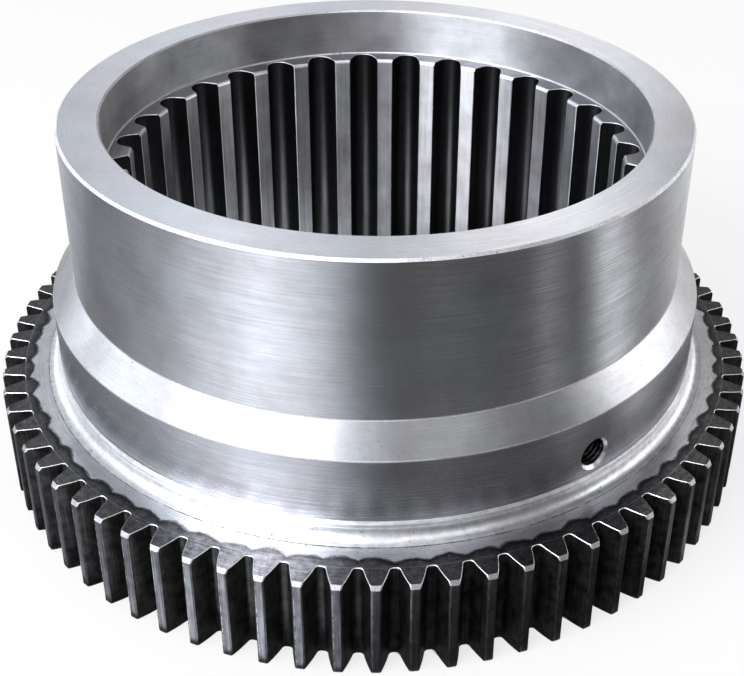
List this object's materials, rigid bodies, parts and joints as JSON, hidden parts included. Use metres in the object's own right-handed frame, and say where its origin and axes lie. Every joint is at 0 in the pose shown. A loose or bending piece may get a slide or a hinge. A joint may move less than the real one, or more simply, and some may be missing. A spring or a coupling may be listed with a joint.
{
  "type": "internal ring gear",
  "caption": "One-piece steel ring gear: an outside spur gear at the foot of a stepped hub whose bore holds a straight internal involute spline below a plain counterbore.",
  "frame": {"origin": "centre of the bottom face, on the axis of the gear and the spline", "axes": "+Z along the axis, from the gear end towards the plain collar; -Y towards the tooth at the front"},
  "size_m": [0.308, 0.3079, 0.1425],
  "materials": {
    "steel": "fine turned steel, with dark hardened teeth"
  },
  "bodies": {
    "root": {"ring_gear": "steel"}
  },
  "joints": []
}
